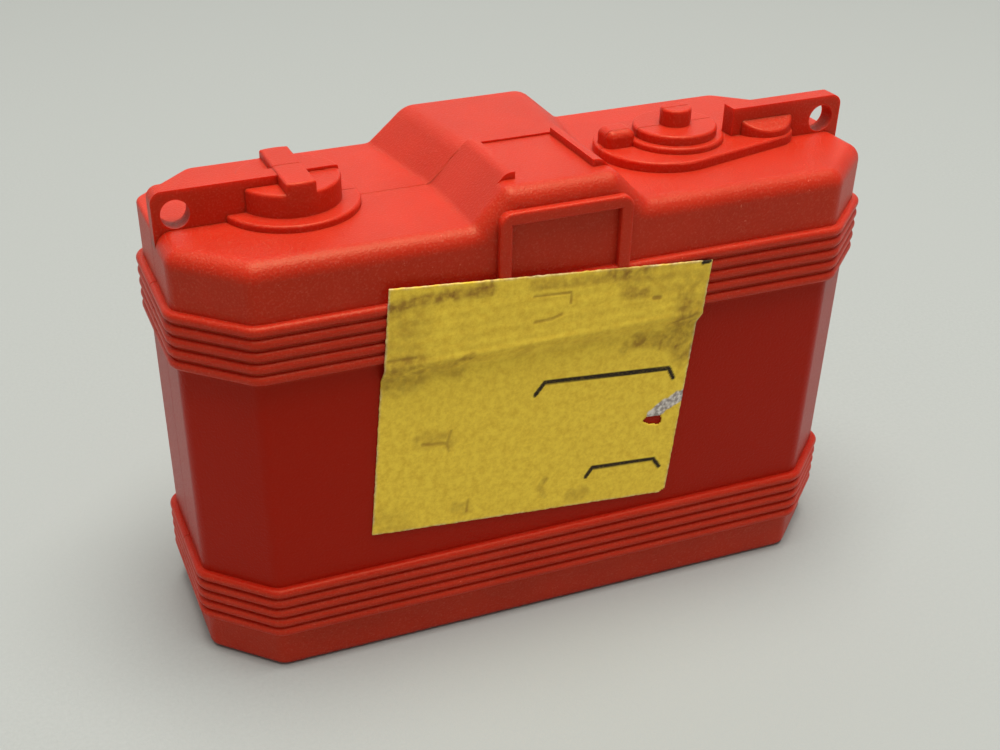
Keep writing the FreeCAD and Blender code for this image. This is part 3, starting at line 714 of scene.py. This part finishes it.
class GAMECASE_OT_stage(bpy.types.Operator):
    """Set the pale floor, the soft lamps and the camera"""

    bl_idname = "gamecase.stage"
    bl_label = "Set the stage"

    def lamp(self, name, place, aim, size, power, colour):
        """A rectangular soft lamp turned towards a point."""
        data = bpy.data.lights.new(name, "AREA")
        data.shape = "RECTANGLE"
        data.size, data.size_y = size
        data.energy = power
        data.color = colour
        lamp = bpy.data.objects.new(name, data)
        lamp.location = place
        lamp.rotation_euler = (Vector(aim) - Vector(place)).to_track_quat("-Z", "Y").to_euler()
        bpy.context.collection.objects.link(lamp)

    def floor_piece(self, look):
        """A square floor with a faint uneven grain, on a grid of quads."""
        material, tree, shader, where = new_finish("pale_floor", Roughness=0.8)
        shader.inputs["Specular IOR Level"].default_value = 0.2
        grain = ranged(tree, noise(tree, where, 2600, 3, 0.7), 0.3, 0.7)
        cloud = ranged(tree, noise(tree, where, 14, 2), 0.35, 0.65)
        base = mix_colour(tree, grain, scaled(look.floor, 0.955), scaled(look.floor, 1.045))
        base = mix_colour(tree, cloud, base, look.floor)
        tree.links.new(base, shader.inputs["Base Color"])
        bumped(tree, shader, grain, 0.05 * MM, 0.25)
        span = np.linspace(-2.5, 2.5, 21)
        x, y = np.meshgrid(span, span)
        points = np.stack([x, y, np.full_like(x, CAD_BOX[0][2])], axis=-1).reshape(-1, 3)
        return put_mesh("pale_floor", points, grid_quads(*x.shape).reshape(-1, 4), material)

    def photo_camera(self, look):
        """The camera, from its angles round the object and the point that it looks at."""
        camera = bpy.data.cameras.new("photo_view")
        camera.sensor_fit = "HORIZONTAL"
        camera.sensor_width = 36.0
        camera.lens = look.lens
        camera.shift_x, camera.shift_y = CAMERA_SHIFT
        camera.clip_start = 0.005
        turn, lift, roll = (math.radians(angle) for angle in CAMERA_ANGLES)
        back = Vector((math.sin(turn) * math.cos(lift), -math.cos(turn) * math.cos(lift), math.sin(lift)))
        side = Vector((math.cos(turn), math.sin(turn), 0))
        up = back.cross(side)
        right = math.cos(roll) * side + math.sin(roll) * up
        top = math.cos(roll) * up - math.sin(roll) * side
        pose = Matrix((right, top, back)).transposed().to_4x4()
        pose.translation = CAMERA_AIM + back * CAMERA_DISTANCE
        holder = bpy.data.objects.new("photo_view", camera)
        holder.matrix_world = pose
        bpy.context.collection.objects.link(holder)
        return holder

    def execute(self, context):
        scene = context.scene
        look = scene.gamecase_stage
        self.floor_piece(look)
        self.lamp("top_lamp", (0.025, -0.03, 0.62), (0, 0, 0.02), (0.40, 0.40), look.top_power, (1.0, 0.99, 0.965))
        self.lamp("back_lamp", (0.1, 0.95, 0.62), (0, 0, 0.03), (1.8, 1.1), look.back_power, (1.0, 0.97, 0.93))
        world = bpy.data.worlds.new("even_light")
        world.use_nodes = True
        background = world.node_tree.nodes["Background"]
        background.inputs["Color"].default_value = (1.0, 1.0, 0.98, 1.0)
        background.inputs["Strength"].default_value = look.surround
        scene.world = world
        scene.camera = self.photo_camera(look)
        scene.view_settings.view_transform = "Standard"
        return {"FINISHED"}


class GAMECASE_PT_panel(bpy.types.Panel):
    """Sidebar panel that lists the steps"""

    bl_label = "Game case"
    bl_idname = "GAMECASE_PT_panel"
    bl_space_type = "VIEW_3D"
    bl_region_type = "UI"
    bl_category = "Game case"

    def draw(self, context):
        for operator in OPERATORS:
            self.layout.operator(operator.bl_idname)


OPERATORS = (GAMECASE_OT_shells, GAMECASE_OT_flash, GAMECASE_OT_label, GAMECASE_OT_game, GAMECASE_OT_stage)
GROUPS = {"gamecase_shell": ShellFinish, "gamecase_label": LabelFinish, "gamecase_game": GameFinish,
          "gamecase_stage": StageSettings}


def register():
    """Register every class and hang the settings on the scene."""
    for group in GROUPS.values():
        bpy.utils.register_class(group)
    for name, group in GROUPS.items():
        setattr(bpy.types.Scene, name, PointerProperty(type=group))
    for entry in OPERATORS + (GAMECASE_PT_panel,):
        bpy.utils.register_class(entry)


def unregister():
    """Take every class off again."""
    for entry in (GAMECASE_PT_panel,) + OPERATORS:
        bpy.utils.unregister_class(entry)
    for name, group in GROUPS.items():
        delattr(bpy.types.Scene, name)
        bpy.utils.unregister_class(group)


def main():
    """Run every step in order."""
    register()
    bpy.ops.gamecase.shells()
    bpy.ops.gamecase.flash()
    bpy.ops.gamecase.label()
    bpy.ops.gamecase.game()
    bpy.ops.gamecase.stage()


if __name__ == "__main__":
    main()
